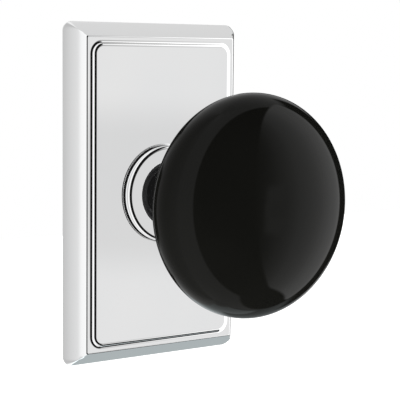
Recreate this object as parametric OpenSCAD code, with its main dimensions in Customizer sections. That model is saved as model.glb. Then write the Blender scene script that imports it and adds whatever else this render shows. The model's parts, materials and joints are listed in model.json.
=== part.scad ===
// Door knob with a rectangular rosette: one side of a passage set, for a 54 mm door bore.
// Millimetres. The origin is where the spindle axis crosses the face of the door.
// World +Z is up and the knob points to -Y, out of the door.
// Every piece is drawn in the frame of the door: x across, y up, z out of the door.
// on_door() then stands it up. Heights out of the door are called "out" below.

/* [Rosette] */
// Width of the rosette
rosette_w = 61.8; // [57:0.1:75]
// Height of the rosette
rosette_h = 102.6; // [98:0.1:125]
// Radius of the rosette's outer corners
rosette_corner_r = 2.8; // [1.5:0.1:4]
// Height of the plain edge that meets the door
edge_h = 0.5; // [0.3:0.1:1.5]
// Width of the convex border
border_w = 4.1; // [3:0.1:5]
// Height of the convex border above the door
border_h = 6.6; // [5:0.1:8]
// Angle through which the convex border turns
border_turn = 20; // [10:1:40]
// Width of the flat strip between border and panel
strip_w = 1.0; // [0.5:0.1:2]
// Width of the riser round the raised panel
riser_w = 1.7; // [1.2:0.1:2.4]
// Height of the raised panel above the strip
panel_rise = 0.9; // [0.8:0.1:1.4]
// Corner radius of the raised panel
panel_corner_r = 2.2; // [1:0.1:4]
// Thickness of the metal behind the panel
panel_thick = 1.7; // [1.2:0.1:2]
// Width of the rim that rests on the door
rim_w = 3.0; // [2.2:0.1:3.2]
// Depth of the wide recess in the back
rim_depth = 3.2; // [2.8:0.1:3.6]

/* [Collar] */
// Radius of the collar's foot
collar_r = 14.9; // [13.8:0.1:18]
// Height of the collar's foot
foot_h = 0.5; // [0.4:0.1:1]
// Step from the foot to the collar's wall
foot_step = 0.35; // [0.2:0.05:0.8]
// Height of the collar's straight wall above the foot
wall_h = 1.2; // [0.5:0.1:2]
// Radius of the collar's rounded shoulder
shoulder_r = 1.8; // [1:0.1:2.2]
// Thickness of the lip that hides the bush
lip_h = 1.3; // [0.8:0.1:1.8]
// Wall of the tube that passes through the rosette
tail_wall = 1.2; // [1:0.1:1.8]
// Thickness of the ring nut behind the rosette
nut_h = 1.8; // [1.2:0.1:2]
// Width of the ring nut's face
nut_w = 3.0; // [2:0.1:4]

/* [Knob] */
// Diameter of the porcelain head
head_d = 63.0; // [56:0.5:76]
// Distance from the door to the head's widest place
head_out = 51.3; // [48:0.1:62]
// Depth of the head in front of its widest place
head_front = 15.2; // [14:0.1:19]
// Depth of the head behind its widest place
head_back = 15.4; // [14:0.1:19]
// Fullness of the head's outline, where 2 is an ellipse
head_fullness = 2.08; // [2:0.01:2.3]
// Radius of the socket in the head
socket_r = 9.0; // [8:0.1:11]
// Depth of the socket in the head
socket_depth = 17; // [14:0.5:19]
// Depth of the flat seat in the back of the head
seat_sink = 0.8; // [0.5:0.1:1.5]
// Thickness of the cushion washer under the head
cushion_h = 0.6; // [0.4:0.1:1]

/* [Neck] */
// Radius of the neck where it turns in the collar
neck_r = 8.7; // [8.2:0.05:10.5]
// Radius of the neck's flared rim
flare_r = 13.0; // [11.5:0.1:16]
// Length of the flare along the neck
flare_len = 16.5; // [12:0.5:18]
// Thickness of the flared rim
flare_rim = 1.0; // [0.6:0.1:1.5]
// Radius of the spigot cemented into the head
spigot_r = 6.6; // [6:0.1:7.4]
// Length of the spigot
spigot_len = 14.5; // [12:0.5:16]
// Depth of the grip grooves in the spigot
spigot_groove = 0.8; // [0.4:0.1:1.2]
// Gap between the neck's back end and the spring cassette
neck_tail_gap = 0.4; // [0.3:0.1:0.8]

/* [Spindle] */
// Width of the square spindle across its flats
spindle_w = 8.0; // [7:0.1:9]
// How far the spindle reaches into the door
spindle_reach = 32; // [28:1:60]
// How deep the spindle sits in the neck
spindle_socket = 30; // [24:1:32]
// Radius of the screw that clamps the spindle
clamp_screw_r = 2.5; // [2:0.1:3]
// Distance from the door to the clamp screw
clamp_screw_out = 20; // [16:0.5:22]

/* [Mounting plate] */
// Thickness of the steel mounting plate
plate_h = 1.6; // [1.2:0.1:2]
// Gap between the mounting plate and the rosette's rim
plate_gap = 1.15; // [1:0.05:2]
// Corner radius of the mounting plate
plate_corner_r = 4; // [2:0.5:6]
// Distance between the centres of the two threaded posts
post_spacing = 38; // [37:0.5:46]
// Outer radius of a threaded post
post_r = 3.4; // [3:0.1:3.8]
// Radius of the tapped hole in a post
post_hole_r = 2.05; // [1.6:0.05:2.2]
// How far a post reaches into the door
post_reach = 10; // [6:0.5:14]
// Distance from the plate's end to a wood screw's centre
screw_edge = 8.5; // [7:0.5:12]
// Radius of a wood screw's shank
screw_r = 1.9; // [1.6:0.1:2.2]
// Length of a wood screw behind the plate
screw_len = 22; // [16:1:30]
// Width of a retaining clip
clip_w = 8; // [5:0.5:12]
// Thickness of a retaining clip
clip_h = 0.5; // [0.4:0.1:0.8]
// Distance of the clips above and below the middle
clip_y = 30; // [26:1:34]

/* [Spring cassette] */
// Depth of the spring cassette in the door
cassette_h = 9; // [8.5:0.1:12]
// Wall of the cassette
cassette_wall = 1.2; // [1:0.1:1.3]
// Thickness of the cassette's cover
cover_h = 0.8; // [0.6:0.1:1]
// Thickness of the rotor's flange
flange_h = 1.0; // [0.8:0.1:1.4]
// Wall of the rotor's hub outside the corners of the square
hub_wall = 1.6; // [1.3:0.1:1.7]
// Angle that the knob turns each way
turn_limit = 60; // [30:1:65]
// Diameter of the spring wire
wire_d = 1.2; // [0.8:0.1:1.3]
// Whole turns in the return spring
spring_turns = 3; // [2:1:3]
// Width of the lugs that the spring's legs hold
lug_w = 3.0; // [2:0.1:4]
// Radius of the stop pin
stop_r = 1.3; // [1:0.1:1.5]

/* [Hidden] */
$fn = 96;
run = 0.05;            // radial running clearance of a turning fit
fit = 0.02;            // radial gap of a pressed or screwed fit
slack = 0.3;           // gap between pieces that move past each other

// Rosette
strip_in = border_w + strip_w;
panel_in = strip_in + riser_w;
panel_out = border_h + panel_rise;
panel_back = panel_out - panel_thick;
well_in = panel_in + 1;                       // the deep recess stays inside the panel
side_room = 1;         // how far the crossed bars reach past the outline that trims them
foot_sink = 0.05;      // how far the foot of the panel's riser starts below the strip

// Collar, bush and what retains the neck
bush_wall = 1.15;
lip_r = neck_r + 0.35;
bush_r = neck_r + run + bush_wall;
tail_r = bush_r + fit + tail_wall;
collar_wall_r = collar_r - foot_step;
collar_face = panel_out + foot_h + wall_h + shoulder_r;
washer_h = 0.5;
tail_out = panel_back - 2.0;                   // back end of the collar's tube
cone_h = 0.6;                                  // height of the conical spring washer
cone_out = tail_out - 0.08;                    // its front edge
thrust_out = cone_out - cone_h - 0.12;         // front face of the thrust washer
ring_out = thrust_out - washer_h - 0.05;       // front face of the retaining ring
ring_h = 0.7;
ring_w = 1.7;
groove_depth = 0.7;

// Knob head and neck
head_r = head_d / 2;
seat_r = flare_r + 0.25;
seat_out = head_out - half_depth(seat_r, head_back) + seat_sink;
neck_top = seat_out - cushion_h;
flare_start = neck_top - flare_rim - flare_len;
spigot_top = neck_top + spigot_len;
socket_w = spindle_w + 2 * run;

// Mounting plate
plate_w = rosette_w - 2 * (rim_w + plate_gap);
plate_len = rosette_h - 2 * (rim_w + plate_gap);
screw_y = plate_len / 2 - screw_edge;
screw_head_r = 2 * screw_r;
plain_shank = 8;
thread_pitch = 1.6;
thread_depth = 0.5;
plate_hole_r = neck_r - groove_depth + ring_w + 1.3;
post_spigot_r = post_r - 0.5;
clip_rivet_r = 1.0;
clip_rivet_x = plate_w / 2 - 4;

// Spring cassette, whose heights are depths into the door and so are negative
hub_r = (spindle_w + 2 * run) / sqrt(2) + hub_wall;
cassette_r = post_spacing / 2 - post_r - 0.6;
cavity_r = cassette_r - cassette_wall;
cavity_floor = -(cassette_h - cassette_wall);
journal_r = hub_r - 0.5;
flange_front = -(cover_h + 0.2);
flange_back = flange_front - flange_h;
flange_r = cavity_r - 0.9;
lug_outer_r = cavity_r - 1.8;
lug_inner_r = lug_outer_r - 1.3;
fixed_lug_r = lug_outer_r + slack;
coil_r = (hub_r + lug_inner_r) / 2;
pitch = wire_d + 0.1;
coil_front = flange_back - 0.2 - wire_d / 2;
leg_side = lug_w / 2 + wire_d / 2 + 0.1;       // how far a leg stands beside the lugs
leg_tip_r = cavity_r - 0.6;
stop_at = lug_inner_r + 1.1;                   // distance of the stop pin from the axis
notch_half = turn_limit + asin((stop_r + 0.25) / stop_at);
ear_y = cassette_r + 2.6;
ear_r = 3.2;
ear_h = 2.2;
rivet_r = 1.5;

chrome = "gainsboro";
zinc = "lightsteelblue";
bronze = "darkgoldenrod";
spring_steel = "slategray";

// ---------- helpers ----------

// Stands a piece drawn on the door's face up in the world
module on_door() rotate([90, 0, 0]) children();

// Half the head's depth at radius r, for an outline of the given depth at the axis
function half_depth(r, depth) = depth * pow(1 - pow(r / head_r, head_fullness), 1 / head_fullness);

// Points of the head's outline from the axis out to the widest place, on one side of it
function head_side(depth, steps) = [for (i = [0 : steps])
    let (a = 90 * i / steps)
    [head_r * pow(sin(a), 2 / head_fullness), depth * pow(cos(a), 2 / head_fullness)]];

// Points of an arc by its tangent: it climbs at angle a0 first and at a1 last, and spans w by h
function rising_arc(w, h, turn, steps) =
    let (mid = atan2(h, w), a0 = mid + turn / 2, a1 = mid - turn / 2,
         rho = norm([w, h]) / (2 * sin(turn / 2)))
    [for (i = [0 : steps]) let (a = a0 + (a1 - a0) * i / steps)
        [rho * (sin(a0) - sin(a)), rho * (cos(a) - cos(a0))]];

module rounded_rect(w, h, r) {
    square([w - 2 * r, h], center = true);
    square([w, h - 2 * r], center = true);
    for (x = [-1, 1], y = [-1, 1])
        translate([x * (w / 2 - r), y * (h / 2 - r)]) circle(r);
}

// Points of an S-shaped rise of w by h, hollow at the foot and round at the top
function riser_curve(w, h, steps) =
    let (turn = 2 * atan2(h, w), rho = w / (2 * sin(turn)))
    concat([for (i = [0 : steps]) let (a = turn * i / steps) [rho * sin(a), rho * (1 - cos(a))]],
        [for (i = [steps - 1 : -1 : 0]) let (a = turn * i / steps)
            [w - rho * sin(a), h - rho * (1 - cos(a))]]);

// Section across a raised form: both edges follow a list of [inset, height] points
function section(w, low, edge) = concat(
    [[-w / 2, low]], [for (p = edge) [p[0] - w / 2, p[1]]],
    [for (i = [len(edge) - 1 : -1 : 0]) [w / 2 - edge[i][0], edge[i][1]]], [[w / 2, low]]);

// Bars that carry a section along y and along x
module bar_along_y(length, outline) {
    rotate([90, 0, 0]) linear_extrude(length, center = true) polygon(outline);
}
module bar_along_x(length, outline) {
    rotate([90, 0, 90]) linear_extrude(length, center = true) polygon(outline);
}

module ring(r_out, r_in, out, h) {
    translate([0, 0, out - h])
        difference() {
            cylinder(r = r_out, h = h);
            translate([0, 0, -1]) cylinder(r = r_in, h = h + 2);
        }
}

// A solid from one height to another
module post(r, low, high) {
    translate([0, 0, low]) cylinder(r = r, h = high - low);
}

// A sector of the plane, centred on straight down
module sector_down(half_angle, r) {
    polygon(concat([[0, 0]], [for (i = [0 : 12])
        let (a = -90 - half_angle + 2 * half_angle * i / 12) 2 * r * [cos(a), sin(a)]]));
}

// ---------- pieces fixed to the door ----------

// Bars crossed and trimmed to a rounded outline: the edges meet in mitres at the corners
module mitred_block(w, h, corner, low, high, edge) {
    rise = (edge[1][1] - edge[0][1]) / (edge[1][0] - edge[0][0]);
    wide = concat([[-side_room, edge[0][1] - rise * side_room]], edge);
    intersection() {
        bar_along_y(h + 2 * side_room, section(w, low - 1, wide));
        bar_along_x(w + 2 * side_room, section(h, low - 1, wide));
        translate([0, 0, low]) linear_extrude(high - low + 1) rounded_rect(w, h, corner);
    }
}

// The rosette up to its flat strip, with the convex border round it
module bordered_block() {
    edge = [for (p = rising_arc(border_w, border_h - edge_h, border_turn, 6)) [p[0], edge_h + p[1]]];
    mitred_block(rosette_w, rosette_h, rosette_corner_r, 0, border_h, edge);
}

// The raised panel with the S-shaped riser round it
module raised_panel() {
    edge = [for (p = riser_curve(riser_w, panel_rise + foot_sink, 3))
        [p[0], border_h - foot_sink + p[1]]];
    mitred_block(rosette_w - 2 * strip_in, rosette_h - 2 * strip_in, panel_corner_r,
        border_h - 0.8, panel_out, edge);
}

// Forged plate: convex border, flat strip, raised panel, hollow back
module rosette() {
    color(chrome) on_door() difference() {
        union() {
            bordered_block();
            raised_panel();
        }
        translate([0, 0, -1]) linear_extrude(rim_depth + 1)
            rounded_rect(rosette_w - 2 * rim_w, rosette_h - 2 * rim_w, 1.5);
        translate([0, 0, -1]) linear_extrude(panel_back + 1)
            rounded_rect(rosette_w - 2 * well_in, rosette_h - 2 * well_in, 3);
        post(tail_r + fit, 0, panel_out + 1);
    }
}

// Stepped ring on the rosette, with a tube that passes through it
module rose_collar() {
    wall_top = panel_out + foot_h + wall_h;
    shoulder = [for (i = [0 : 8]) let (a = 90 * i / 8)
        [collar_wall_r - shoulder_r * (1 - cos(a)), wall_top + shoulder_r * sin(a)]];
    outline = concat(
        [[bush_r + fit, tail_out], [tail_r, tail_out], [tail_r, panel_out],
         [collar_r, panel_out], [collar_r, panel_out + foot_h], [collar_wall_r, panel_out + foot_h]],
        shoulder,
        [[lip_r, collar_face], [lip_r, collar_face - lip_h], [bush_r + fit, collar_face - lip_h]]);
    color(chrome) on_door() rotate_extrude() polygon(outline);
}

// Ring nut that draws the collar against the rosette from behind
module collar_nut() {
    color(zinc) on_door() difference() {
        ring(tail_r + nut_w, tail_r + fit, panel_back, nut_h);
        for (a = [0 : 90 : 270]) rotate(a)
            translate([tail_r + nut_w, 0, panel_back - nut_h - 1])
                linear_extrude(nut_h + 2) square([2, 2.4], center = true);
    }
}

// Plain bearing sleeve in the collar
module neck_bush() {
    color("ivory") on_door()
        ring(bush_r, neck_r + run, collar_face - lip_h - fit, collar_face - lip_h - fit - tail_out);
}

// Conical washer that takes up the end play of the neck
module spring_washer() {
    r_in = neck_r + slack;
    r_out = tail_r - 0.4;
    color(spring_steel) on_door() rotate_extrude() polygon([
        [r_in, cone_out - cone_h], [r_in, cone_out - cone_h + 0.3],
        [r_out, cone_out], [r_out, cone_out - 0.3]]);
}

// Steel plate screwed to the door, which carries everything else
module mounting_plate() {
    color(zinc) on_door() difference() {
        linear_extrude(plate_h) rounded_rect(plate_w, plate_len, plate_corner_r);
        post(plate_hole_r, -1, plate_h + 1);
        for (s = [-1, 1]) {
            translate([s * post_spacing / 2, 0, 0]) post(post_spigot_r + fit, -1, plate_h + 1);
            translate([0, s * ear_y, 0]) post(rivet_r + fit, -1, plate_h + 1);
            translate([0, s * screw_y, 0]) screw_sink();
            for (y = [-1, 1]) translate([s * clip_rivet_x, y * clip_y, 0])
                post(clip_rivet_r + fit, -1, plate_h + 1);
        }
    }
}

// Countersunk hole of a wood screw
module screw_sink() {
    post(screw_r + 0.15, -1, plate_h + 1);
    rim = screw_head_r + 0.05;
    cone_end = plate_h - (screw_head_r - screw_r) - 0.05;
    rotate_extrude() polygon([[0, plate_h + 1], [0, cone_end], [screw_r, cone_end],
        [rim, plate_h], [rim, plate_h + 1]]);
}

// Two tapped posts, staked into the mounting plate, for the bolts from the other side of the door
module threaded_posts() {
    color(zinc) on_door() for (s = [-1, 1]) translate([s * post_spacing / 2, 0, 0])
        difference() {
            union() {
                post(post_r, -post_reach, 0);
                post(post_spigot_r, 0, plate_h);
            }
            post(post_hole_r, -post_reach - 1, plate_h + 1);
        }
}

// Two countersunk wood screws
module wood_screws() {
    cone = screw_head_r - screw_r;
    thread_top = -plain_shank;
    ridges = floor((screw_len - plain_shank - 4) / thread_pitch);
    color("silver") on_door() for (s = [-1, 1]) translate([0, s * screw_y, 0]) difference() {
        rotate_extrude() polygon(concat(
            [[0, plate_h], [screw_head_r, plate_h], [screw_r, plate_h - cone], [screw_r, thread_top]],
            [for (i = [0 : ridges - 1], k = [0 : 2])
                [k == 1 ? screw_r : screw_r - thread_depth,
                 thread_top - thread_pitch * (i + [0.2, 0.45, 0.7][k])]],
            [[0, -screw_len]]));
        for (a = [0, 90]) rotate(a)
            translate([0, 0, plate_h]) cube([0.9, 4.2, 1.6], center = true);
    }
}

// Four leaf clips that grip the inside of the rosette's rim
module retaining_clips() {
    foot = 8;
    leg_x = rosette_w / 2 - rim_w - 0.1;
    color(spring_steel) on_door() for (s = [-1, 1], y = [-1, 1])
        translate([0, y * clip_y - clip_w / 2, 0]) mirror([s < 0 ? 1 : 0, 0, 0])
            difference() {
                translate([0, clip_w, 0]) rotate([90, 0, 0]) linear_extrude(clip_w) polygon([
                    [clip_rivet_x - foot / 2, plate_h], [plate_w / 2 + 0.2, plate_h],
                    [leg_x - clip_h - 0.25, plate_h - 1.2], [leg_x - 0.1, plate_h - 1.2],
                    [leg_x, plate_h - 0.5], [leg_x - 0.3, plate_h + clip_h],
                    [clip_rivet_x - foot / 2, plate_h + clip_h]]);
                translate([clip_rivet_x, clip_w / 2, 0]) post(clip_rivet_r + fit, 0, plate_h + 2);
            }
}

// Rivets of the retaining clips
module clip_rivets() {
    color("silver") on_door() for (s = [-1, 1], y = [-1, 1])
        translate([s * clip_rivet_x, y * clip_y, 0]) {
            post(clip_rivet_r, 0, plate_h + clip_h);
            post(1.8 * clip_rivet_r, plate_h + clip_h, plate_h + clip_h + 0.5);
        }
}

// Outline shared by the cassette's housing and cover: a disc with two riveted ears
module cassette_outline(r) {
    circle(r);
    for (s = [-1, 1]) {
        translate([0, s * ear_y]) circle(ear_r);
        translate([0, s * ear_y / 2]) square([2 * ear_r, ear_y], center = true);
    }
}

module ear_holes() {
    for (s = [-1, 1]) translate([0, s * ear_y, 0]) post(rivet_r + fit, -cassette_h - 1, plate_h + 1);
}

// Cup of the return-spring cassette, behind the mounting plate
module spring_housing() {
    color(zinc) on_door() difference() {
        union() {
            post(cassette_r, -cassette_h, -cover_h);
            translate([0, 0, -cover_h - ear_h]) linear_extrude(ear_h) cassette_outline(cassette_r);
        }
        difference() {
            post(cavity_r, cavity_floor, 0);
            translate([-lug_w / 2, fixed_lug_r, cavity_floor - 1])
                cube([lug_w, cassette_r, flange_back - slack - cavity_floor + 1]);
        }
        post(journal_r + run, -cassette_h - 1, 0);
        ear_holes();
    }
}

// Cover that closes the cassette against the mounting plate
module cassette_cover() {
    color(zinc) on_door() difference() {
        translate([0, 0, -cover_h]) linear_extrude(cover_h) cassette_outline(cassette_r);
        post(hub_r + run, -cover_h - 1, 1);
        translate([0, -stop_at, 0]) post(stop_r - 0.3 + fit, -cover_h - 1, 1);
        ear_holes();
    }
}

// Two rivets through plate, cover and housing
module cassette_rivets() {
    back = -cover_h - ear_h;
    color("silver") on_door() for (s = [-1, 1]) translate([0, s * ear_y, 0]) {
        post(rivet_r, back, plate_h);
        rotate_extrude() polygon([[0, plate_h], [1.8 * rivet_r, plate_h],
            [1.3 * rivet_r, plate_h + 0.6], [0, plate_h + 0.7]]);
        rotate_extrude() polygon([[0, back], [1.7 * rivet_r, back],
            [1.3 * rivet_r, back - 0.6], [0, back - 0.7]]);
    }
}

// Shouldered pin in the cover that ends the rotor's travel
module stop_pin() {
    color("silver") on_door() translate([0, -stop_at, 0]) {
        post(stop_r - 0.3, -cover_h, 0);
        post(stop_r, flange_back, -cover_h);
    }
}

// ---------- pieces that turn with the knob ----------

// Glazed porcelain head with a flat seat and a socket in its back
module knob_head() {
    steps = 24;
    front = [for (p = head_side(head_front, steps)) [p[0], head_out + p[1]]];
    back = [for (i = [steps - 1 : -1 : 0])
        let (p = head_side(head_back, steps)[i]) [p[0], head_out - p[1]]];
    color("black") on_door() difference() {
        rotate_extrude() polygon(concat(front, back));
        post(seat_r, 0, seat_out);
        post(socket_r, 0, seat_out + socket_depth);
    }
}

// Cement that holds the spigot in the head
module cement_bed() {
    color("gray") on_door() difference() {
        post(socket_r - fit, seat_out, seat_out + socket_depth - fit);
        rotate_extrude() polygon(spigot_outline(fit));
    }
}

// Outline of the grooved spigot, let out by a gap
function spigot_outline(gap) =
    let (groove = spigot_len / 7)
    concat([[0, neck_top - 0.5], [spigot_r + gap, neck_top - 0.5]],
        [for (i = [1 : 2 : 5], k = [0 : 3])
            [k == 1 || k == 2 ? spigot_r - spigot_groove + gap : spigot_r + gap,
             neck_top + groove * (i + [0, 0.3, 0.7, 1][k])]],
        [[spigot_r + gap, spigot_top + gap], [0, spigot_top + gap]]);

// Soft washer between the flared rim and the porcelain
module cushion_washer() {
    color("dimgray") on_door() ring(flare_r, spigot_r + 0.1, seat_out, cushion_h);
}

// Trumpet-shaped neck: journal, flare, cemented spigot, square socket
module knob_neck() {
    flare = [for (i = [0 : 14]) let (a = 84 * i / 14)
        [neck_r + (flare_r - neck_r) * (1 - cos(a)) / (1 - cos(84)),
         flare_start + flare_len * sin(a) / sin(84)]];
    journal = [[0, neck_tail_gap], [neck_r, neck_tail_gap],
        [neck_r, ring_out - ring_h - 0.04], [neck_r - groove_depth, ring_out - ring_h - 0.04],
        [neck_r - groove_depth, ring_out + 0.04], [neck_r, ring_out + 0.04]];
    rim = [[flare_r, neck_top], [spigot_r, neck_top]];
    spigot = [for (i = [2 : len(spigot_outline(0)) - 1]) spigot_outline(0)[i]];
    color(chrome) on_door() difference() {
        rotate_extrude() polygon(concat(journal, flare, rim, spigot));
        translate([0, 0, spindle_socket / 2 - 0.5])
            cube([socket_w, socket_w, spindle_socket + 1], center = true);
        translate([0, 0, clamp_screw_out]) rotate([90, 0, 0])
            cylinder(r = clamp_screw_r + fit, h = 2 * neck_r);
    }
}

// Socket screw in the underside of the neck, tight on the spindle
module spindle_screw() {
    tip = spindle_w / 2;
    length = neck_r - tip - 0.4;
    color("dimgray") on_door() translate([0, 0, clamp_screw_out]) rotate([90, 0, 0]) difference() {
        post(clamp_screw_r, tip, tip + length);
        translate([0, 0, tip + length - 2]) cylinder(r = 1.44, h = 3, $fn = 6);
    }
}

// Square spindle that turns the latch
module spindle() {
    length = spindle_socket - 0.5 + spindle_reach;
    color("silver") on_door() translate([0, 0, (spindle_socket - 0.5 - spindle_reach) / 2])
        intersection() {
            cube([spindle_w, spindle_w, length], center = true);
            rotate(45) cube([1.32 * spindle_w, 1.32 * spindle_w, length + 1], center = true);
        }
}

// Hard washer between the spring washer and the retaining ring
module thrust_washer() {
    color("silver") on_door() ring(tail_r, neck_r + fit, thrust_out, washer_h);
}

// Open ring in the neck's groove
module retaining_ring() {
    r_in = neck_r - groove_depth + fit;
    ear_at = r_in + ring_w;
    color(spring_steel) on_door() translate([0, 0, ring_out - ring_h]) linear_extrude(ring_h)
        difference() {
            union() {
                difference() {
                    circle(r_in + ring_w);
                    polygon([[0, 0], [-3.2, -2 * ear_at], [3.2, -2 * ear_at]]);
                }
                for (s = [-1, 1]) translate([s * 2.5, -ear_at + 0.6]) circle(1.4);
            }
            circle(r_in);
            for (s = [-1, 1]) translate([s * 2.5, -ear_at + 0.5]) circle(0.6);
        }
}

// Cam driven by the spindle, with a notched flange and a lug for the spring
module spring_rotor() {
    color(bronze) on_door() difference() {
        union() {
            post(hub_r, cavity_floor + 0.25, -0.15);
            post(journal_r, -cassette_h + 0.2, -1);
            post(flange_r, flange_back, flange_front);
            translate([-lug_w / 2, 0, cavity_floor + 0.4]) intersection() {
                translate([0, lug_inner_r, 0])
                    cube([lug_w, lug_outer_r, flange_front - cavity_floor - 0.4]);
                translate([lug_w / 2, 0, 0]) cylinder(r = lug_outer_r, h = cassette_h);
            }
        }
        translate([0, 0, flange_back - 1]) linear_extrude(flange_h + 2) difference() {
            intersection() {
                sector_down(notch_half, cassette_r);
                circle(cassette_r);
            }
            circle(stop_at - stop_r - 0.25);
        }
        translate([0, 0, -cassette_h / 2]) cube([socket_w, socket_w, 2 * cassette_h], center = true);
    }
}

// Torsion spring round the hub, with two legs that hold the lugs between them
module return_spring() {
    side_angle = asin(leg_side / coil_r);
    steps = spring_turns * 20;
    coil = [for (i = [0 : steps])
        let (a = 90 - side_angle - 360 * (spring_turns - 2 * side_angle / 360) * i / steps)
        [coil_r * cos(a), coil_r * sin(a), coil_front - pitch * spring_turns * i / steps]];
    first = [for (r = [leg_tip_r, (leg_tip_r + coil_r) / 2]) [leg_side, r, coil_front]];
    last = [for (r = [(leg_tip_r + coil_r) / 2, leg_tip_r])
        [-leg_side, r, coil_front - pitch * spring_turns]];
    color(spring_steel) on_door() swept_wire(concat(first, coil, last), wire_d / 2, 8);
}

// A round wire along a list of points, as one closed skin
module swept_wire(path, r, sides) {
    n = len(path);
    dirs = [for (i = [0 : n - 1])
        let (d = path[min(i + 1, n - 1)] - path[max(i - 1, 0)]) d / norm(d)];
    rings = [for (i = [0 : n - 1])
        let (u = cross(dirs[i], [0, 0, 1]), side = u / norm(u), up = cross(side, dirs[i]))
        for (k = [0 : sides - 1])
            path[i] + r * (cos(360 * k / sides) * side + sin(360 * k / sides) * up)];
    walls = [for (i = [0 : n - 2], k = [0 : sides - 1])
        let (a = i * sides + k, b = i * sides + (k + 1) % sides) [a, b, b + sides, a + sides]];
    ends = [[for (k = [sides - 1 : -1 : 0]) k], [for (k = [0 : sides - 1]) (n - 1) * sides + k]];
    polyhedron(rings, concat(walls, ends), convexity = 6);
}

rosette();
rose_collar();
collar_nut();
neck_bush();
spring_washer();
thrust_washer();
retaining_ring();
knob_head();
cement_bed();
cushion_washer();
knob_neck();
spindle_screw();
spindle();
mounting_plate();
threaded_posts();
wood_screws();
retaining_clips();
clip_rivets();
spring_housing();
cassette_cover();
cassette_rivets();
stop_pin();
spring_rotor();
return_spring();
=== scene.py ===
"""A porcelain door knob on a chromed rosette, in a white studio of soft cards.

The door face is the plane y = 0, the knob points along -Y and +Z is up. "Out" is the distance
from the door face, so a point at out t lies at y = -t.
"""

import json
import math

import bpy
import numpy as np
from mathutils import Matrix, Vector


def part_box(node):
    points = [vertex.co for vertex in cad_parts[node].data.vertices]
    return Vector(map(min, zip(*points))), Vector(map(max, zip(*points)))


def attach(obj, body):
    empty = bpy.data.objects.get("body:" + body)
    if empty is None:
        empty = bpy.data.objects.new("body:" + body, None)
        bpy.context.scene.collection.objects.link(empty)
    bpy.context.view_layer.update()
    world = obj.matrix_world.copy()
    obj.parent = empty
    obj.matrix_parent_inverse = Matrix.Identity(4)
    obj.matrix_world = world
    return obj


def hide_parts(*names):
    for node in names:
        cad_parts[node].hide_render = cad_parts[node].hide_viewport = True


MM = 0.001
PLAY = 0.02 * MM
NEAR = 1e-6
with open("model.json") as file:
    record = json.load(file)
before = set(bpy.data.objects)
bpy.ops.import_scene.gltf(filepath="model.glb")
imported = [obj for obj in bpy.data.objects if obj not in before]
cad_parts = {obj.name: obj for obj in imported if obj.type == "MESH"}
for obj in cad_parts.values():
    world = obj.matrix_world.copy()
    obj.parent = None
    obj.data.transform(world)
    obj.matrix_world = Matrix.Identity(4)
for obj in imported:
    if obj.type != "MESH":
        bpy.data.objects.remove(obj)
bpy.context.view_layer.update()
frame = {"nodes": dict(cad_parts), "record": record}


# ---------- sizes, in metres ----------


def box_size(name):
    """(half width, half height, back out, front out) of a CAD node round the spindle axis."""
    low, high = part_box(name)
    return (high[0] - low[0]) / 2, (high[2] - low[2]) / 2, -high[1], -low[1]


HALF_W, HALF_H, _, PANEL_OUT = box_size("rosette")
EDGE_H = 0.5 * MM
BORDER_W = 4.35 * MM
BORDER_OUT = 6.7 * MM
BORDER_TURN = math.radians(20)
STRIP_W = 1.05 * MM
RISER_W = 1.85 * MM
CORNER_R = 2.8 * MM
PANEL_CORNER_R = 2.2 * MM
MITRE_R = 0.35 * MM
RIM_W = 3.0 * MM
RIM_DEPTH = 3.2 * MM
WELL_IN = BORDER_W + STRIP_W + RISER_W + 1.0 * MM
WELL_CORNER_R = 1.0 * MM
PANEL_BACK = PANEL_OUT - 1.7 * MM
UNDER_COLLAR_R = 14.0 * MM
REAR_EASE = 0.1 * MM
EDGE_EASE = 0.3 * MM
BORDER_EASE = 0.6 * MM
INNER_EASE = 0.15 * MM

COLLAR_BACK = box_size("rose_collar")[2]
FOOT_R = 15.0 * MM
FOOT_H = 0.6 * MM
COLLAR_R = 14.85 * MM
WALL_H = 1.35 * MM
SHOULDER_R = 1.42 * MM
BUSH_R = box_size("neck_bush")[0]
BUSH_OUT = box_size("neck_bush")[3]
TAIL_R = 11.12 * MM
LIP_R = 9.95 * MM
TURNED_EASE = 0.04 * MM
FOOT_EASE = 0.06 * MM
LIP_EASE = 0.12 * MM

_, SCREWS_HALF_H, SCREW_TIP, SCREW_FACE = box_size("wood_screws")
SCREW_R = 1.9 * MM
SCREW_HEAD_R = 3.8 * MM
SCREW_TAPER = 4 * MM
THREAD_START = 9.6 * MM
THREAD_PITCH = 1.6 * MM
THREAD_DEPTH = 0.28
CROSS_R = 2.1 * MM
CROSS_HALF_W = 0.45 * MM
CROSS_DEPTH = 0.8 * MM

HEAD_R, _, _, HEAD_OUT = box_size("knob_head")
HEAD_FRONT = 15.2 * MM
HEAD_BACK = 15.4 * MM
FULLNESS = 2.08
SEAT_R = 13.25 * MM
SOCKET_R = 9.0 * MM
SEAT_OUT = box_size("cushion_washer")[3]
SOCKET_END = box_size("cement_bed")[3] + PLAY
SEAT_MARGIN = 0.6 * MM
SEAT_EASES = [0.35 * MM, 0.2 * MM, 0.3 * MM, 1.0 * MM]


# ---------- surfaces ----------


def arc(centre, radius, start, end, steps):
    """Points of a circle's arc: centre + radius (cos a, sin a), a going evenly from start to end."""
    a = np.linspace(start, end, steps + 1)[:, None]
    return np.asarray(centre) + radius * np.hstack([np.cos(a), np.sin(a)])


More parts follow.
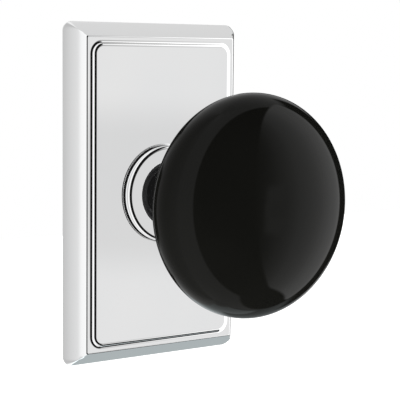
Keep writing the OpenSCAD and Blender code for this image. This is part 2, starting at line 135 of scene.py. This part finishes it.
def eased(points, radii, closed, steps=4):
    """A polyline whose corners are replaced by arcs tangent to both sides, each of its own radius."""
    p = np.asarray(points, float)
    out = []
    for i, (corner, radius) in enumerate(zip(p, radii)):
        if radius == 0 or (not closed and i in (0, len(p) - 1)):
            out.append(corner[None])
            continue
        u, v = p[i - 1] - corner, p[(i + 1) % len(p)] - corner
        lu, lv = np.linalg.norm(u), np.linalg.norm(v)
        u, v = u / lu, v / lv
        half = math.acos(np.clip(u @ v, -1, 1)) / 2
        reach = min(radius / math.tan(half), 0.48 * min(lu, lv))
        radius = reach * math.tan(half)
        centre = corner + (u + v) / np.linalg.norm(u + v) * radius / math.sin(half)
        a, b = corner + u * reach - centre, corner + v * reach - centre
        turn = math.pi - 2 * half
        w = np.linspace(0, 1, steps + 1)[:, None]
        out.append(centre + (np.sin((1 - w) * turn) * a + np.sin(w * turn) * b) / math.sin(turn))
    return np.vstack(out)


def joined(*pieces):
    """Polylines put end to end, without the points that they share."""
    p = np.vstack(pieces)
    keep = np.r_[True, np.linalg.norm(np.diff(p, axis=0), axis=1) > 1e-7]
    return p[keep]


def profile_normals(profile, closed):
    """Unit normals of a profile: at each point, its two sides' normals weighted by their lengths."""
    step = np.roll(profile, -1, axis=0) - profile
    side = np.stack([step[:, 1], -step[:, 0]], axis=1)
    if not closed:
        side[-1] = 0
    total = side + np.roll(side, 1, axis=0)
    total /= np.maximum(np.linalg.norm(total, axis=1, keepdims=True), 1e-12)
    return total


def surface(name, grid, normals, body, finish, closed):
    """A mesh over a grid of points (along the profile, round it). An open profile ends in two poles."""
    rows, cols = grid.shape[:2]
    index = np.arange(rows * cols).reshape(rows, cols)
    points, shading = grid.reshape(-1, 3), normals.reshape(-1, 3)
    if not closed:
        index[0], index[-1] = index[0, 0], index[-1, 0]
    a = index if closed else index[:-1]
    b = np.roll(index, -1, axis=0) if closed else index[1:]
    quads = np.stack([a, b, np.roll(b, -1, axis=1), np.roll(a, -1, axis=1)], axis=2).reshape(-1, 4)
    used, quads = np.unique(quads, return_inverse=True)
    quads = quads.reshape(-1, 4)
    points, shading = points[used], shading[used]
    face = np.cross(points[quads[:, 2]] - points[quads[:, 0]], points[quads[:, 3]] - points[quads[:, 1]])
    if np.sum(face * shading[quads[:, 0]]) < 0:
        quads = quads[:, ::-1]
    faces = [list(dict.fromkeys(q)) for q in quads.tolist()]
    mesh = bpy.data.meshes.new(name)
    mesh.from_pydata(points, [], faces)
    mesh.polygons.foreach_set("use_smooth", np.ones(len(faces), bool))
    mesh.normals_split_custom_set_from_vertices(shading)
    mesh.materials.append(finish)
    piece = bpy.data.objects.new(name, mesh)
    bpy.context.scene.collection.objects.link(piece)
    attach(piece, body)
    return piece


def lathe(name, profile, body, finish, closed, segments=256):
    """A profile of (radius, out) turned about the spindle axis: (r cos a, -out, r sin a)."""
    a = np.linspace(0, 2 * math.pi, segments, endpoint=False)
    n = profile_normals(profile, closed)

    def turned(pair):
        return np.stack([pair[:, :1] * np.cos(a), -pair[:, 1:] + 0 * a, pair[:, :1] * np.sin(a)], axis=2)

    return surface(name, turned(profile), turned(n) * outward(profile), body, finish, closed)


def outward(profile):
    """+1 or -1, whichever makes profile_normals point away from the enclosed area."""
    x, y = profile.T
    area = np.sum(x * np.roll(y, -1) - np.roll(x, -1) * y)
    return 1 if area > 0 else -1


def outline(inset, corner, corner_steps=10, side_steps=24):
    """Points and outward directions round a rectangle drawn in by inset, its corners arcs."""
    q = np.linspace(0, math.pi / 2, corner_steps + 1)
    points, facing = [], []
    for k, (sx, sz) in enumerate([(1, 1), (-1, 1), (-1, -1), (1, -1)]):
        d = np.stack([np.cos(q + k * math.pi / 2), np.sin(q + k * math.pi / 2)], axis=1)
        centre = np.array([sx * (HALF_W - inset - corner), sz * (HALF_H - inset - corner)])
        points.append(centre + corner * d)
        facing.append(d)
    sides, ways = [], []
    w = np.linspace(0, 1, side_steps, endpoint=False)[1:, None]
    for k in range(4):
        nxt = points[(k + 1) % 4][0]
        sides += [points[k], points[k][-1] * (1 - w) + nxt * w]
        ways += [facing[k], np.repeat(facing[k][-1:], len(w), axis=0)]
    return np.vstack(sides), np.vstack(ways)


# ---------- pieces ----------


def make_rosette(finish):
    """The forged plate: one closed section carried round a rectangle and, under the collar, a circle.

    Front: a convex arc, a flat strip, an S of two equal arcs and the panel. Back: rim and well.
    """
    rise = BORDER_OUT - EDGE_H
    mid, half = math.atan2(rise, BORDER_W), BORDER_TURN / 2
    rho = math.hypot(rise, BORDER_W) / (2 * math.sin(half))
    first = math.pi / 2 + mid + half
    border = arc((rho * math.sin(mid + half), EDGE_H - rho * math.cos(mid + half)), rho,
                 first, first - 2 * half, 14)
    strip_in = BORDER_W + STRIP_W
    step = PANEL_OUT - BORDER_OUT
    turn = 2 * math.atan2(step, RISER_W)
    bend = RISER_W / (2 * math.sin(turn))
    foot = arc((strip_in, BORDER_OUT + bend), bend, -math.pi / 2, turn - math.pi / 2, 12)
    brow = arc((strip_in + RISER_W, PANEL_OUT - bend), bend, math.pi / 2 + turn, math.pi / 2, 12)
    hole = HALF_W - TAIL_R - PLAY
    under_collar = HALF_W - UNDER_COLLAR_R
    back = [(under_collar, PANEL_OUT), (hole, PANEL_OUT), (hole, PANEL_BACK), (WELL_IN, PANEL_BACK),
            (WELL_IN, RIM_DEPTH), (RIM_W, RIM_DEPTH), (RIM_W, 0)]
    points = joined([(0, 0)], border, foot, brow, back)
    ease = np.zeros(len(points))
    ease[0], ease[1], ease[len(border)], ease[-6:] = REAR_EASE, EDGE_EASE, BORDER_EASE, INNER_EASE
    profile = eased(points, ease, True, 6)
    n = profile_normals(profile, True)
    inset, out = profile.T
    corner = np.maximum(CORNER_R - inset, MITRE_R)
    raised = (inset >= strip_in - NEAR) & (out >= BORDER_OUT - NEAR)
    corner[raised] = np.maximum(PANEL_CORNER_R + strip_in + RISER_W - inset[raised], MITRE_R)
    recess = (inset > RIM_W - INNER_EASE - NEAR) & (out < PANEL_BACK + NEAR)
    corner[recess] = np.maximum(corner[recess], WELL_CORNER_R)
    grid, shading = [], []
    for s, t, r, m in zip(inset, out, corner, n):
        flat, way = outline(min(s, under_collar), r)
        if s >= under_collar - NEAR:
            way = flat / np.linalg.norm(flat, axis=1, keepdims=True)
            flat = way * (HALF_W - s)
        grid.append(np.stack([flat[:, 0], np.full(len(flat), -t), flat[:, 1]], axis=1))
        shading.append(np.stack([-m[0] * way[:, 0], np.full(len(flat), -m[1]), -m[0] * way[:, 1]], axis=1))
    shading = np.array(shading) * outward(profile)
    piece = surface("rosette_chrome", np.array(grid), shading, "rose", finish, True)
    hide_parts("rosette")


def make_collar(finish):
    """The collar: a thin foot, a wall, a quarter-round shoulder and a flat face round the hole."""
    ledge = PANEL_OUT + FOOT_H
    face = ledge + WALL_H + SHOULDER_R
    bush_r, bush_out = BUSH_R + PLAY, BUSH_OUT + PLAY
    outside = [(TAIL_R, COLLAR_BACK), (TAIL_R, PANEL_OUT), (FOOT_R, PANEL_OUT), (FOOT_R, ledge),
               (COLLAR_R, ledge)]
    shoulder = arc((COLLAR_R - SHOULDER_R, face - SHOULDER_R), SHOULDER_R, 0, math.pi / 2, 16)
    inside = [(LIP_R, face), (LIP_R, bush_out), (bush_r, bush_out), (bush_r, COLLAR_BACK)]
    points = joined(outside, shoulder, inside)
    ease = np.zeros(len(points))
    ease[:5] = ease[-3:] = TURNED_EASE
    ease[3], ease[-4] = FOOT_EASE, LIP_EASE
    piece = lathe("rose_collar_chrome", eased(points, ease, True), "rose", finish, True, 192)
    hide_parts("rose_collar")
    return piece


def make_head(finish):
    """The porcelain head: |r/R|^n + |t/depth|^n = 1 turned about the axis, with the seat and socket."""
    a = np.linspace(0, math.pi, 161)
    power = 2 / FULLNESS
    r = HEAD_R * np.abs(np.sin(a)) ** power
    depth = np.where(a < math.pi / 2, HEAD_FRONT, HEAD_BACK)
    t = HEAD_OUT - HEAD_FRONT + depth * np.sign(np.cos(a)) * np.abs(np.cos(a)) ** power
    keep = (a < math.pi / 2) | (r > SEAT_R + SEAT_MARGIN)
    rim_t = HEAD_OUT - HEAD_FRONT - HEAD_BACK * (1 - (SEAT_R / HEAD_R) ** FULLNESS) ** (1 / FULLNESS)
    skin = np.stack([r, t], axis=1)[keep]
    skin[0, 0] = 0
    seat = [(SEAT_R, rim_t), (SEAT_R, SEAT_OUT), (SOCKET_R, SEAT_OUT), (SOCKET_R, SOCKET_END),
            (0, SOCKET_END)]
    profile = joined(skin, seat)
    ease = np.zeros(len(profile))
    ease[-5:-1] = SEAT_EASES
    piece = lathe("knob_head_porcelain", eased(profile, ease, False), "knob", finish, False)
    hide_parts("knob_head")
    return piece


def make_screw(name, finish, centre_z):
    """A countersunk wood screw: r(w, a) about its own axis, w from the head's face to the tip.

    The thread is a ridge where w / pitch - a / turn is whole, and a cross is sunk into the face.
    """
    length = SCREW_FACE - SCREW_TIP
    a = np.linspace(0, 2 * math.pi, 48, endpoint=False)
    face = np.linspace(0, SCREW_HEAD_R, 16)[:, None]
    cone_w = np.linspace(0, SCREW_HEAD_R - SCREW_R, 5)[1:, None]
    shank_w = np.linspace(SCREW_HEAD_R - SCREW_R, THREAD_START, 6)[1:, None]
    thread_w = np.linspace(THREAD_START, length, 140)[1:, None]
    phase = (thread_w - THREAD_START) / THREAD_PITCH - a / (2 * math.pi)
    ridge = np.abs(2 * (phase - np.floor(phase)) - 1) ** 0.6
    fade = np.clip((thread_w - THREAD_START) / MM, 0, 1)
    point = np.clip((length - thread_w) / SCREW_TAPER, 0, 1) ** 0.8
    threaded = SCREW_R * point * (1 - THREAD_DEPTH * (1 - ridge) * fade)
    r = np.vstack([face + 0 * a, SCREW_HEAD_R - cone_w + 0 * a, SCREW_R + 0 * shank_w + 0 * a, threaded])
    w = np.vstack([0 * face, cone_w, shank_w, thread_w]) + 0 * a
    across = np.minimum(np.abs(r * np.cos(a)), np.abs(r * np.sin(a)))
    w = w + CROSS_DEPTH * ((across < CROSS_HALF_W) & (r < CROSS_R) & (w == 0))
    grid = np.stack([r * np.cos(a), w - SCREW_FACE, centre_z + r * np.sin(a)], axis=2)
    around = np.roll(grid, -1, axis=1) - np.roll(grid, 1, axis=1)
    n = np.cross(around, np.gradient(grid, axis=0))
    n[0], n[-1] = (0, -1, 0), (0, 1, 0)
    n /= np.maximum(np.linalg.norm(n, axis=2, keepdims=True), 1e-12)
    away = np.stack([np.cos(a), 0 * a, np.sin(a)], axis=1)
    if np.sum(n[1:-1] * away) < 0:
        n[1:-1] *= -1
    piece = surface(name, grid, n, "rose", finish, False)
    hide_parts("wood_screws")


# ---------- materials ----------


def node(tree, kind, inputs=(), **settings):
    """A new node with its settings. Each input is a value or another node's output."""
    made = tree.nodes.new(kind)
    for key, value in settings.items():
        setattr(made, key, value)
    for key, value in dict(inputs).items():
        if isinstance(value, bpy.types.NodeSocket):
            tree.links.new(value, made.inputs[key])
        else:
            made.inputs[key].default_value = value
    return made


def maths(tree, operation, *values):
    """The output of a Math node."""
    return node(tree, "ShaderNodeMath", enumerate(values), operation=operation).outputs[0]


def group(name, inputs, outputs):
    """An empty node group with float inputs {name: default} and outputs {name: socket type}."""
    tree = bpy.data.node_groups.new(name, "ShaderNodeTree")
    for key, default in inputs.items():
        tree.interface.new_socket(key, in_out="INPUT", socket_type="NodeSocketFloat").default_value = default
    for key, kind in outputs.items():
        tree.interface.new_socket(key, in_out="OUTPUT", socket_type=kind)
    return tree, tree.nodes.new("NodeGroupInput").outputs, tree.nodes.new("NodeGroupOutput")


def mottle_group():
    """Slow and fine variation over a surface: a tint mask, a roughness and a bumped normal."""
    tree, value, end = group(
        "surface_mottle",
        {"Patch Scale": 60.0, "Grain Scale": 900.0, "Roughness": 0.3, "Spread": 0.1, "Relief": 0.1},
        {"Mask": "NodeSocketFloat", "Roughness": "NodeSocketFloat", "Normal": "NodeSocketVector"})
    where = node(tree, "ShaderNodeTexCoord").outputs["Object"]
    patch = node(tree, "ShaderNodeTexNoise", {"Vector": where, "Scale": value["Patch Scale"], "Detail": 5.0})
    grain = node(tree, "ShaderNodeTexNoise", {"Vector": where, "Scale": value["Grain Scale"], "Detail": 3.0})
    offset = maths(tree, "MULTIPLY", maths(tree, "SUBTRACT", patch.outputs[0], 0.5), value["Spread"])
    bump = node(tree, "ShaderNodeBump", {"Strength": value["Relief"], "Distance": 0.1 * MM,
                                         "Height": grain.outputs[0]})
    tree.links.new(patch.outputs[0], end.inputs["Mask"])
    tree.links.new(maths(tree, "ADD", value["Roughness"], offset), end.inputs["Roughness"])
    tree.links.new(bump.outputs[0], end.inputs["Normal"])
    return tree


def polish_group():
    """Buffing: hair-fine marks along one direction and a slow waviness that bends reflections."""
    tree, value, end = group(
        "buffed_polish",
        {"Mark Scale": 1500.0, "Roughness": 0.03, "Spread": 0.02, "Relief": 0.02, "Waviness": 0.02},
        {"Mask": "NodeSocketFloat", "Roughness": "NodeSocketFloat", "Normal": "NodeSocketVector"})
    where = node(tree, "ShaderNodeTexCoord").outputs["Object"]
    along = node(tree, "ShaderNodeMapping", {"Vector": where, "Scale": (1.0, 1.0, 0.06)}).outputs[0]
    marks = node(tree, "ShaderNodeTexNoise", {"Vector": along, "Scale": value["Mark Scale"], "Detail": 2.0})
    slow = node(tree, "ShaderNodeTexNoise", {"Vector": where, "Scale": 45.0, "Detail": 1.0})
    offset = maths(tree, "MULTIPLY", maths(tree, "SUBTRACT", marks.outputs[0], 0.5), value["Spread"])
    wave = node(tree, "ShaderNodeBump", {"Strength": value["Waviness"], "Distance": 0.1 * MM,
                                         "Height": slow.outputs[0]})
    bump = node(tree, "ShaderNodeBump", {"Strength": value["Relief"], "Distance": 0.01 * MM,
                                         "Height": marks.outputs[0], "Normal": wave.outputs[0]})
    tree.links.new(slow.outputs[0], end.inputs["Mask"])
    tree.links.new(maths(tree, "ADD", value["Roughness"], offset), end.inputs["Roughness"])
    tree.links.new(bump.outputs[0], end.inputs["Normal"])
    return tree


def worn_group():
    """A mask of the outside edges, broken up by noise: where a rounded normal leaves the true one."""
    tree, value, end = group("edge_wear", {"Width": 0.3 * MM, "Amount": 1.0}, {"Mask": "NodeSocketFloat"})
    true = node(tree, "ShaderNodeNewGeometry").outputs["Normal"]
    soft = node(tree, "ShaderNodeBevel", {"Radius": value["Width"]}, samples=4).outputs[0]
    same = node(tree, "ShaderNodeVectorMath", {0: true, 1: soft}, operation="DOT_PRODUCT").outputs["Value"]
    where = node(tree, "ShaderNodeTexCoord").outputs["Object"]
    patch = node(tree, "ShaderNodeTexNoise", {"Vector": where, "Scale": 700.0, "Detail": 4.0}).outputs[0]
    edge = node(tree, "ShaderNodeMapRange", {"Value": same, "From Min": 1.0, "From Max": 0.85}).outputs[0]
    broken = node(tree, "ShaderNodeMapRange", {"Value": patch, "From Min": 0.35, "From Max": 0.6}).outputs[0]
    mask = maths(tree, "MULTIPLY", maths(tree, "MULTIPLY", edge, broken), value["Amount"])
    tree.links.new(mask, end.inputs["Mask"])
    return tree


def ramp(tree, factor, stops):
    """The colour output of a ramp through (position, colour) stops."""
    made = node(tree, "ShaderNodeValToRGB", {0: factor})
    elements = made.color_ramp.elements
    while len(elements) < len(stops):
        elements.new(1.0)
    for element, (place, colour) in zip(elements, stops):
        element.position = place
        element.color = (*colour, 1.0)
    return made.outputs["Color"]


def material(name, effect, settings, dark, light, worn=None, wear=0.0, **shader):
    """A Principled material: dark to light by the effect's mask, its edges worn to another colour."""
    made = bpy.data.materials.new(name)
    FINISHES[name] = made
    made.use_nodes = True
    tree = made.node_tree
    principled = tree.nodes["Principled BSDF"]
    look = node(tree, "ShaderNodeGroup", node_tree=effect)
    for key, value in settings.items():
        look.inputs[key].default_value = value
    colour = ramp(tree, look.outputs["Mask"], [(0.3, dark), (0.7, light)])
    if worn:
        edges = node(tree, "ShaderNodeGroup", node_tree=WORN)
        edges.inputs["Amount"].default_value = wear
        colour = mixed(tree, edges.outputs["Mask"], colour, worn)
    tree.links.new(colour, principled.inputs["Base Color"])
    tree.links.new(look.outputs["Roughness"], principled.inputs["Roughness"])
    tree.links.new(look.outputs["Normal"], principled.inputs["Normal"])
    for key, value in shader.items():
        principled.inputs[key].default_value = value


def mixed(tree, factor, colour, other):
    """A colour Mix node's output, from colour to other, which is a plain colour or another output."""
    made = tree.nodes.new("ShaderNodeMix")
    made.data_type = "RGBA"
    tree.links.new(factor, made.inputs[0])
    tree.links.new(colour, made.inputs[6])
    if isinstance(other, bpy.types.NodeSocket):
        tree.links.new(other, made.inputs[7])
    else:
        made.inputs[7].default_value = (*other, 1.0)
    return made.outputs[2]


MOTTLE, POLISH, WORN = mottle_group(), polish_group(), worn_group()
FINISHES = {}

material(
    "polished_chrome", POLISH,
    {"Mark Scale": 1600.0, "Roughness": 0.035, "Spread": 0.015, "Relief": 0.01, "Waviness": 0.01},
    (0.955, 0.96, 0.965), (0.975, 0.975, 0.975), Metallic=1.0)
material(
    "black_porcelain", POLISH,
    {"Mark Scale": 300.0, "Roughness": 0.05, "Spread": 0.02, "Relief": 0.0, "Waviness": 0.02},
    (0.0072, 0.0072, 0.0062), (0.0084, 0.0084, 0.0072), IOR=1.195)
material(
    "zinc_steel", MOTTLE,
    {"Patch Scale": 120.0, "Grain Scale": 2500.0, "Roughness": 0.36, "Spread": 0.25, "Relief": 0.15},
    (0.50, 0.52, 0.55), (0.70, 0.71, 0.73), (0.8, 0.8, 0.8), 0.7, Metallic=1.0)
material(
    "bright_steel", POLISH,
    {"Mark Scale": 900.0, "Roughness": 0.22, "Spread": 0.15, "Relief": 0.2, "Waviness": 0.05},
    (0.52, 0.52, 0.52), (0.66, 0.66, 0.67), (0.75, 0.75, 0.75), 0.7, Metallic=1.0)
material(
    "black_steel", MOTTLE,
    {"Patch Scale": 200.0, "Grain Scale": 3000.0, "Roughness": 0.42, "Spread": 0.2, "Relief": 0.2},
    (0.018, 0.018, 0.02), (0.045, 0.045, 0.05), (0.32, 0.31, 0.30), 0.8, Metallic=0.6)
material(
    "spring_steel", POLISH,
    {"Mark Scale": 1100.0, "Roughness": 0.3, "Spread": 0.2, "Relief": 0.2, "Waviness": 0.03},
    (0.20, 0.21, 0.23), (0.34, 0.35, 0.37), (0.6, 0.6, 0.6), 0.6, Metallic=1.0)
material(
    "sintered_bronze", MOTTLE,
    {"Patch Scale": 250.0, "Grain Scale": 5000.0, "Roughness": 0.45, "Spread": 0.3, "Relief": 0.5},
    (0.32, 0.17, 0.06), (0.58, 0.36, 0.16), (0.8, 0.55, 0.3), 0.6, Metallic=1.0)
# Painted shade: the nylon bush is really off-white, but its colour here is near-black, standing in for the
# shade in the gap round the bush.
material(
    "bush_nylon", MOTTLE,
    {"Patch Scale": 90.0, "Grain Scale": 1800.0, "Roughness": 0.45, "Spread": 0.15, "Relief": 0.1},
    (0.012, 0.012, 0.013), (0.022, 0.022, 0.023))
material(
    "cement", MOTTLE,
    {"Patch Scale": 400.0, "Grain Scale": 3000.0, "Roughness": 0.85, "Spread": 0.2, "Relief": 0.8},
    (0.30, 0.29, 0.27), (0.50, 0.49, 0.46))
material(
    "cushion_rubber", MOTTLE,
    {"Patch Scale": 150.0, "Grain Scale": 2500.0, "Roughness": 0.6, "Spread": 0.2, "Relief": 0.3},
    (0.012, 0.012, 0.012), (0.03, 0.03, 0.03))

make_rosette(FINISHES["polished_chrome"])
collar = make_collar(FINISHES["polished_chrome"])
head = make_head(FINISHES["black_porcelain"])
make_screw("wood_screw_upper", FINISHES["bright_steel"], SCREWS_HALF_H - SCREW_HEAD_R)
make_screw("wood_screw_lower", FINISHES["bright_steel"], SCREW_HEAD_R - SCREWS_HALF_H)
knob_nodes = [frame["nodes"][name] for name in frame["record"]["behaviour"]["bodies"]["knob"]]
for piece in [collar, head] + knob_nodes:
    piece.visible_glossy = False

for part in frame["record"]["subparts"]:
    for material_slot in frame["nodes"][part["node"]].material_slots:
        material_slot.material = FINISHES[part["material_slot"]]


# ---------- studio ----------


def smooth_step(tree, value, start, end):
    """0 before start, 1 after end, with a smooth rise between."""
    return node(tree, "ShaderNodeMapRange", {"Value": value, "From Min": start, "From Max": end},
                interpolation_type="SMOOTHSTEP").outputs[0]


def window(tree, value, low, high, soft):
    """A mask that is 1 between low and high, with soft edges."""
    return maths(tree, "MULTIPLY", smooth_step(tree, value, low - soft, low + soft),
                 smooth_step(tree, value, high + soft, high - soft))


def cone(tree, way, azimuth, elevation, half_angle, soft):
    """A mask that is 1 within half_angle degrees of a direction."""
    a, e = math.radians(azimuth), math.radians(elevation)
    axis = (math.sin(a) * math.cos(e), -math.cos(a) * math.cos(e), math.sin(e))
    near = node(tree, "ShaderNodeVectorMath", {0: way, 1: axis}, operation="DOT_PRODUCT").outputs["Value"]
    return smooth_step(tree, near, math.cos(math.radians(half_angle + soft)),
                       math.cos(math.radians(half_angle - soft)))


def patch_mask(tree, azimuth, elevation, across, up):
    """A mask over a patch of the room: (low, high, soft) in azimuth and in elevation."""
    return maths(tree, "MULTIPLY", window(tree, azimuth, *across), window(tree, elevation, *up))


def by_azimuth(tree, azimuth, glow):
    """Light that changes with azimuth as (degrees, brightness) stops say."""
    place = node(tree, "ShaderNodeMapRange", {"Value": azimuth, "From Min": -180.0, "From Max": 180.0})
    colour = ramp(tree, place.outputs[0], [((a + 180) / 360, (level / PEAK,) * 3) for a, level in glow])
    return node(tree, "ShaderNodeVectorMath", {0: colour, "Scale": PEAK}, operation="SCALE").outputs[0]


def grey(level, tint=(1.0, 1.0, 1.0)):
    """A plain colour of one brightness, tinted."""
    return tuple(level * c for c in tint)


PEAK = 3.0
ROOM_STRENGTH = 1.03
BLUISH = (0.91, 1.0, 1.02)

# Brightness by azimuth, in degrees from -Y towards +X: of the whole room, and of the card on the right.
AROUND = [(-180, 0.9), (-150, 0.6), (-120, 0.5), (-101, 0.53), (-88, 0.64), (-76, 0.72), (-73, 0.76),
          (-68, 0.92), (-60, 0.96), (-36, 1.0), (20, 0.85), (80, 0.66), (132, 0.68), (165, 0.92), (180, 0.92)]
RIGHT_CARD = [(20, 0.0), (28, 0.2), (32, 0.36), (36, 0.6), (40, 0.8), (44, 1.0), (48, 1.25), (56, 1.42),
              (68, 1.65), (76, 1.6), (86, 1.3), (96, 1.2)]
DARK = grey(0.008)
LOW_CARD = grey(0.45, BLUISH)
DEEP_CARD = grey(1.35, BLUISH)
PLATE_CARD = grey(0.77)
VEIL = grey(0.68)

# Patches, each as (low, high, soft) in azimuth and the same in elevation.
LOW_PATCH = (92, 160, 8), (-75, -26, 3)
DEEP_PATCH = (100, 165, 4), (-78, -58, 2)
DEEP_SIDE_PATCH = (147, 165, 4), (-62, -24, 3)
DARK_SIDE_PATCH = (80, 118, 2), (-40, 40, 4)
DARK_LEVEL_PATCH = (116, 200, 2), (-16, 16, 3)
DARK_REAR_PATCH = (-200, -155, 3), (-20, 14, 3)
PLATE_PATCH = (28, 39, 3), (-15, 4, 2)
VEIL_PATCH = (28, 39, 3), (-8.4, -2.2, 1.0)

# Round patches, as azimuth, elevation, half angle and soft edge.
DARK_CONE = (27, 3, 64, 1.5)
DARK_LOW_CONE = (62, -42, 25.5, 1.5)
RIGHT_CONE = (70, 2, 49, 1.0)
RIGHT_CARD_END = (96.0, 93.0)
RIGHT_CARD_FOOT = (-44.5, -42.5)


def make_world():
    """A white room laid out by direction; the camera itself sees plain white.

    Round the camera the room is dark, with a card to its right and others low down behind it.
    """
    world = bpy.data.worlds.new("studio")
    bpy.context.scene.world = world
    world.use_nodes = True
    tree = world.node_tree
    tree.nodes.clear()
    way = node(tree, "ShaderNodeTexCoord").outputs["Generated"]
    x, y, z = node(tree, "ShaderNodeSeparateXYZ", {0: way}).outputs
    to_degrees = 180 / math.pi
    azimuth = maths(tree, "MULTIPLY", maths(tree, "ARCTAN2", x, maths(tree, "MULTIPLY", y, -1.0)), to_degrees)
    elevation = maths(tree, "MULTIPLY", maths(tree, "ARCSINE", z), to_degrees)

    def masked(area):
        return patch_mask(tree, azimuth, elevation, *area)

    right = maths(tree, "MULTIPLY", cone(tree, way, *RIGHT_CONE), smooth_step(tree, azimuth, *RIGHT_CARD_END))
    right = maths(tree, "MULTIPLY", right, smooth_step(tree, elevation, *RIGHT_CARD_FOOT))
    layers = [
        (masked(LOW_PATCH), LOW_CARD),
        (maths(tree, "MAXIMUM", masked(DEEP_PATCH), masked(DEEP_SIDE_PATCH)), DEEP_CARD),
        (cone(tree, way, *DARK_CONE), DARK),
        (masked(DARK_REAR_PATCH), DARK),
        (masked(DARK_SIDE_PATCH), DARK),
        (masked(DARK_LEVEL_PATCH), DARK),
        (cone(tree, way, *DARK_LOW_CONE), DARK),
        (right, by_azimuth(tree, azimuth, RIGHT_CARD)),
        (masked(PLATE_PATCH), PLATE_CARD),
        (masked(VEIL_PATCH), VEIL),
    ]
    light = by_azimuth(tree, azimuth, AROUND)
    for mask, layer in layers:
        light = mixed(tree, mask, light, layer)
    room = node(tree, "ShaderNodeBackground", {"Color": light, "Strength": ROOM_STRENGTH})
    white = node(tree, "ShaderNodeBackground", {"Color": (1.0, 1.0, 1.0, 1.0), "Strength": 1.0})
    seen = node(tree, "ShaderNodeLightPath").outputs["Is Camera Ray"]
    both = node(tree, "ShaderNodeMixShader", {0: seen, 1: room.outputs[0], 2: white.outputs[0]})
    node(tree, "ShaderNodeOutputWorld", {0: both.outputs[0]})


FLOOR_HALF = 8.0
FLOOR_LEVEL = -1.2
FLOOR_GLOW = 0.8


def make_floor():
    """A pale floor well below the knob, kept out of the chrome's reflections."""
    mesh = bpy.data.meshes.new("studio_floor")
    corners = [(-1, -1), (1, -1), (1, 1), (-1, 1)]
    mesh.from_pydata([(x * FLOOR_HALF, y * FLOOR_HALF, FLOOR_LEVEL) for x, y in corners], [], [(0, 1, 2, 3)])
    made = bpy.data.materials.new("studio_floor")
    made.use_nodes = True
    principled = made.node_tree.nodes["Principled BSDF"]
    principled.inputs["Base Color"].default_value = (0.9, 0.9, 0.9, 1.0)
    principled.inputs["Roughness"].default_value = 0.9
    principled.inputs["Emission Color"].default_value = (1.0, 1.0, 1.0, 1.0)
    principled.inputs["Emission Strength"].default_value = FLOOR_GLOW
    mesh.materials.append(made)
    floor = bpy.data.objects.new("studio_floor", mesh)
    floor.visible_glossy = False
    bpy.context.scene.collection.objects.link(floor)


CAMERA_PLACE = np.array([-234.0, -351.0, 40.2]) * MM
CAMERA_TURNS = (35.803, 5.809, 0.538)
CAMERA_LENS = 123.57


def make_camera():
    """The camera to the left of the knob and above it, turned right by yaw, down by pitch, and rolled."""
    yaw, pitch, roll = map(math.radians, CAMERA_TURNS)
    right = np.array([math.cos(yaw), -math.sin(yaw), 0])
    ahead = np.array([math.sin(yaw) * math.cos(pitch), math.cos(yaw) * math.cos(pitch), -math.sin(pitch)])
    up = np.cross(right, ahead)
    turned = math.cos(roll) * right + math.sin(roll) * up
    upright = math.cos(roll) * up - math.sin(roll) * right
    place = np.eye(4)
    place[:3, 0], place[:3, 1], place[:3, 2] = turned, upright, -ahead
    place[:3, 3] = CAMERA_PLACE
    camera = bpy.data.objects.new("camera", bpy.data.cameras.new("camera"))
    camera.data.lens = CAMERA_LENS
    camera.matrix_world = Matrix(place.tolist())
    bpy.context.scene.collection.objects.link(camera)
    bpy.context.scene.camera = camera


make_world()
make_floor()
make_camera()
bpy.context.scene.view_settings.view_transform = "Standard"
